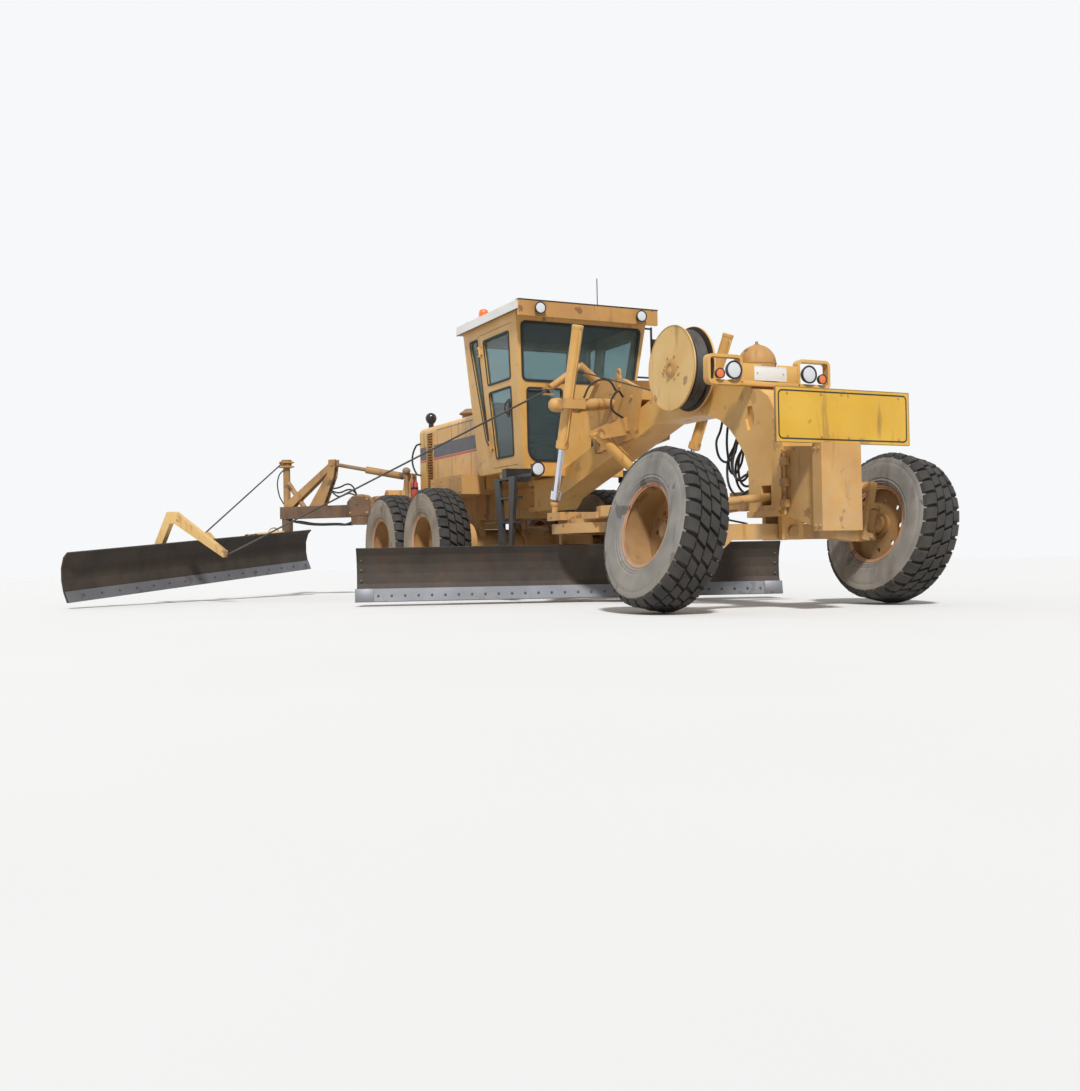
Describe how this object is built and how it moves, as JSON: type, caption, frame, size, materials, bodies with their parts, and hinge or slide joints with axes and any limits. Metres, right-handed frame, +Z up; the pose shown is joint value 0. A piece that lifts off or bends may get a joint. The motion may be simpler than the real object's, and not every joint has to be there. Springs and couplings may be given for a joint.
{
  "type": "motor grader",
  "caption": "Articulated road grader with leaning front wheels, a centre blade and a cable-stayed bank blade on a rear boom.",
  "frame": {"origin": "on the ground, under the middle of the whole machine's box with the bank blade out to the right", "axes": "+X forward, +Y to the machine's left, +Z up"},
  "size_m": [10.9207, 7.4015, 4.0453],
  "materials": {
    "tyre": "dusty black rubber",
    "rim_paint": "worn yellow-brown paint",
    "yellow_paint": "faded golden yellow paint",
    "worn_paint": "worn and dusty yellow paint",
    "blade_paint": "rusty worn paint",
    "edge_steel": "ground steel",
    "rod_chrome": "hard chrome",
    "glass": "tinted glass",
    "black_paint": "black paint",
    "engine": "oily cast iron",
    "lamp": "clear and amber lamp glass",
    "sign_board": "yellow board with a black border",
    "wire_rope": "dull steel wire"
  },
  "bodies": {
    "rear_chassis": {"rear_frame": "worn_paint", "tandem_cases": "worn_paint", "hood": "yellow_paint", "grille": "worn_paint", "engine_block": "engine", "hood_fittings": "black_paint"},
    "front_chassis": {"front_frame": "yellow_paint", "front_axle": "yellow_paint", "lift_saddle": "yellow_paint", "cab_shell": "yellow_paint", "cab_glass": "glass", "seat_and_controls": "black_paint", "steps_and_mirrors": "black_paint", "light_bar": "yellow_paint", "lamps": "lamp", "push_block": "yellow_paint", "sign": "sign_board"},
    "wheel_rear_right_1": {"tyre_rear_right_1": "tyre", "rim_rear_right_1": "rim_paint"},
    "wheel_rear_right_2": {"tyre_rear_right_2": "tyre", "rim_rear_right_2": "rim_paint"},
    "wheel_rear_left_1": {"tyre_rear_left_1": "tyre", "rim_rear_left_1": "rim_paint"},
    "wheel_rear_left_2": {"tyre_rear_left_2": "tyre", "rim_rear_left_2": "rim_paint"},
    "steer_right": {"knuckle_right": "worn_paint"},
    "wheel_front_right": {"tyre_front_right": "tyre", "rim_front_right": "rim_paint"},
    "steer_left": {"knuckle_left": "worn_paint"},
    "wheel_front_left": {"tyre_front_left": "tyre", "rim_front_left": "rim_paint"},
    "tie_rod_link": {"tie_rod": "worn_paint"},
    "door_right_swing": {"door_right": "yellow_paint", "door_glass_right": "glass"},
    "door_left_swing": {"door_left": "yellow_paint", "door_glass_left": "glass"},
    "drawbar_frame": {"drawbar": "yellow_paint"},
    "lift_cylinder_right_barrel_body": {"lift_barrel_right": "yellow_paint"},
    "lift_cylinder_right_rod_body": {"lift_rod_right": "rod_chrome"},
    "lift_cylinder_left_barrel_body": {"lift_barrel_left": "yellow_paint"},
    "lift_cylinder_left_rod_body": {"lift_rod_left": "rod_chrome"},
    "shift_cylinder_barrel_body": {"shift_barrel": "yellow_paint"},
    "shift_cylinder_rod_body": {"shift_rod": "rod_chrome"},
    "circle_turn_frame": {"circle": "blade_paint"},
    "blade_carrier_frame": {"blade_carrier": "blade_paint"},
    "blade": {"moldboard": "blade_paint", "cutting_edge": "edge_steel"},
    "reel_drum": {"reel": "worn_paint"},
    "cable_front_line": {"cable_front": "wire_rope"},
    "boom": {"rear_boom": "worn_paint"},
    "boom_cylinder_barrel_body": {"boom_barrel": "yellow_paint"},
    "boom_cylinder_rod_body": {"boom_rod": "rod_chrome"},
    "bank_blade_arm": {"bank_blade": "blade_paint"},
    "stay_line": {"stay_cable": "wire_rope"}
  },
  "joints": [
    {"name": "articulation", "type": "hinge", "parent": "rear_chassis", "child": "front_chassis", "pos_m": [-0.53, 2.04, 0], "axis": [0, 0, 1], "range_deg": [-20, 20]},
    {"name": "spin_rear_right_1", "type": "hinge", "parent": "rear_chassis", "child": "wheel_rear_right_1", "pos_m": [-1.015, 0.79, 0.725], "axis": [0, 1, 0], "continuous": true},
    {"name": "spin_rear_right_2", "type": "hinge", "parent": "rear_chassis", "child": "wheel_rear_right_2", "pos_m": [-2.665, 0.79, 0.725], "axis": [0, 1, 0], "continuous": true},
    {"name": "spin_rear_left_1", "type": "hinge", "parent": "rear_chassis", "child": "wheel_rear_left_1", "pos_m": [-1.015, 3.29, 0.725], "axis": [0, 1, 0], "continuous": true},
    {"name": "spin_rear_left_2", "type": "hinge", "parent": "rear_chassis", "child": "wheel_rear_left_2", "pos_m": [-2.665, 3.29, 0.725], "axis": [0, 1, 0], "continuous": true},
    {"name": "steering_right", "type": "hinge", "parent": "front_chassis", "child": "steer_right", "pos_m": [4.62, 0.98454, 0.68837], "axis": [0, 0.2079, 0.9781], "range_deg": [-35, 35]},
    {"name": "spin_front_right", "type": "hinge", "parent": "steer_right", "child": "wheel_front_right", "pos_m": [4.62, 0.74, 0.74034], "axis": [0, 0.9781, -0.2079], "continuous": true},
    {"name": "steering_left", "type": "hinge", "parent": "front_chassis", "child": "steer_left", "pos_m": [4.62, 3.09546, 0.79232], "axis": [0, 0.2079, 0.9781], "range_deg": [-35, 35]},
    {"name": "spin_front_left", "type": "hinge", "parent": "steer_left", "child": "wheel_front_left", "pos_m": [4.62, 3.34, 0.74034], "axis": [0, 0.9781, -0.2079], "continuous": true},
    {"name": "tie_rod_turn", "type": "hinge", "parent": "steer_right", "child": "tie_rod_link", "pos_m": [4.395, 0.9758, 0.64728], "axis": [0, 0.2079, 0.9781], "range_deg": [-35, 35]},
    {"name": "door_right_hinge", "type": "hinge", "parent": "front_chassis", "child": "door_right_swing", "pos_m": [-0.342, 1.3231, 1.59817], "axis": [0, 0.1075, -0.9942], "range_deg": [0, 95]},
    {"name": "door_left_hinge", "type": "hinge", "parent": "front_chassis", "child": "door_left_swing", "pos_m": [-0.342, 2.7569, 1.59817], "axis": [0, 0.1075, 0.9942], "range_deg": [0, 95]},
    {"name": "drawbar_lift", "type": "hinge", "parent": "front_chassis", "child": "drawbar_frame", "pos_m": [4.19, 2.04, 1.02], "axis": [0, 1, 0], "range_deg": [-9, 8]},
    {"name": "lift_cylinder_right_swing", "type": "hinge", "parent": "front_chassis", "child": "lift_cylinder_right_barrel_body", "pos_m": [1.82, 1.27, 2.2], "axis": [0, 1, 0], "range_deg": [-5.5, 5.5]},
    {"name": "lift_cylinder_right_stroke", "type": "slide", "parent": "lift_cylinder_right_barrel_body", "child": "lift_cylinder_right_rod_body", "axis": [-0.2676, -0.0268, -0.9632], "range_m": [-0.413, 0.413]},
    {"name": "lift_cylinder_left_swing", "type": "hinge", "parent": "front_chassis", "child": "lift_cylinder_left_barrel_body", "pos_m": [2.04, 2.96, 2.2], "axis": [0, 1, 0], "range_deg": [-6.3, 6.3]},
    {"name": "lift_cylinder_left_stroke", "type": "slide", "parent": "lift_cylinder_left_barrel_body", "child": "lift_cylinder_left_rod_body", "axis": [-0.3201, -0.1557, -0.9345], "range_m": [-0.38, 0.38]},
    {"name": "shift_cylinder_swing", "type": "hinge", "parent": "front_chassis", "child": "shift_cylinder_barrel_body", "pos_m": [2.12, 1.48, 1.85], "axis": [1, 0, 0], "range_deg": [-12.4, 12.4]},
    {"name": "shift_cylinder_stroke", "type": "slide", "parent": "shift_cylinder_barrel_body", "child": "shift_cylinder_rod_body", "axis": [0, 0.7605, -0.6494], "range_m": [-0.218, 0.218]},
    {"name": "circle_turn", "type": "hinge", "parent": "drawbar_frame", "child": "circle_turn_frame", "pos_m": [1.67, 2.04, 0.83], "axis": [0, 0, 1], "range_deg": [-10, 40]},
    {"name": "blade_tip", "type": "hinge", "parent": "circle_turn_frame", "child": "blade_carrier_frame", "pos_m": [1.4382, 2.13365, 0.33], "axis": [0.3746, 0.9272, 0], "range_deg": [-10, 12]},
    {"name": "blade_side_shift", "type": "slide", "parent": "blade_carrier_frame", "child": "blade", "axis": [0.3746, 0.9272, 0], "range_m": [-0.4, 0.6]},
    {"name": "reel_turn", "type": "hinge", "parent": "front_chassis", "child": "reel_drum", "pos_m": [3.54, 1.66, 2.37], "axis": [0, 1, 0], "continuous": true},
    {"name": "cable_front_swing", "type": "hinge", "parent": "front_chassis", "child": "cable_front_line", "pos_m": [1.53, 1.14, 2.39], "axis": [0, 0, 1], "range_deg": [-15.7, 15.7]},
    {"name": "boom_lift", "type": "hinge", "parent": "rear_chassis", "child": "boom", "pos_m": [-4.17, 1.15, 1.305], "axis": [-0.7219, 0.692, 0], "range_deg": [-8, 14]},
    {"name": "boom_cylinder_swing", "type": "hinge", "parent": "rear_chassis", "child": "boom_cylinder_barrel_body", "pos_m": [-3.84474, 1.48928, 1.79], "axis": [-0.7219, 0.692, 0], "range_deg": [-10.9, 10.9]},
    {"name": "boom_cylinder_stroke", "type": "slide", "parent": "boom_cylinder_barrel_body", "child": "boom_cylinder_rod_body", "axis": [-0.6788, -0.708, 0.1949], "range_m": [-0.148, 0.148]},
    {"name": "bank_blade_lift", "type": "hinge", "parent": "boom", "child": "bank_blade_arm", "pos_m": [-4.98, 0.18, 0.74], "axis": [-0.788, -0.6157, 0], "range_deg": [-28, 36]},
    {"name": "stay_swing", "type": "hinge", "parent": "boom", "child": "stay_line", "pos_m": [-5.2592, -0.15062, 2.09], "axis": [-0.788, -0.6157, 0], "range_deg": [-29.2, 29.2]}
  ],
  "couplings": [
    {"joint": "steering_left", "follows": "steering_right", "ratio": 1},
    {"joint": "tie_rod_turn", "follows": "steering_right", "ratio": -1},
    {"joint": "lift_cylinder_right_swing", "follows": "drawbar_lift", "ratio": 0.5526},
    {"joint": "lift_cylinder_right_stroke", "follows": "drawbar_lift", "m_per_rad": -2.5932},
    {"joint": "lift_cylinder_left_swing", "follows": "drawbar_lift", "ratio": 0.6341},
    {"joint": "lift_cylinder_left_stroke", "follows": "drawbar_lift", "m_per_rad": -2.3817},
    {"joint": "shift_cylinder_swing", "follows": "drawbar_lift", "ratio": 1.3156},
    {"joint": "shift_cylinder_stroke", "follows": "drawbar_lift", "m_per_rad": -1.3521},
    {"joint": "cable_front_swing", "follows": "articulation", "ratio": -0.7575},
    {"joint": "boom_cylinder_swing", "follows": "boom_lift", "ratio": 0.7407},
    {"joint": "boom_cylinder_stroke", "follows": "boom_lift", "m_per_rad": -0.5845},
    {"joint": "stay_swing", "follows": "bank_blade_lift", "ratio": 0.7965}
  ]
}
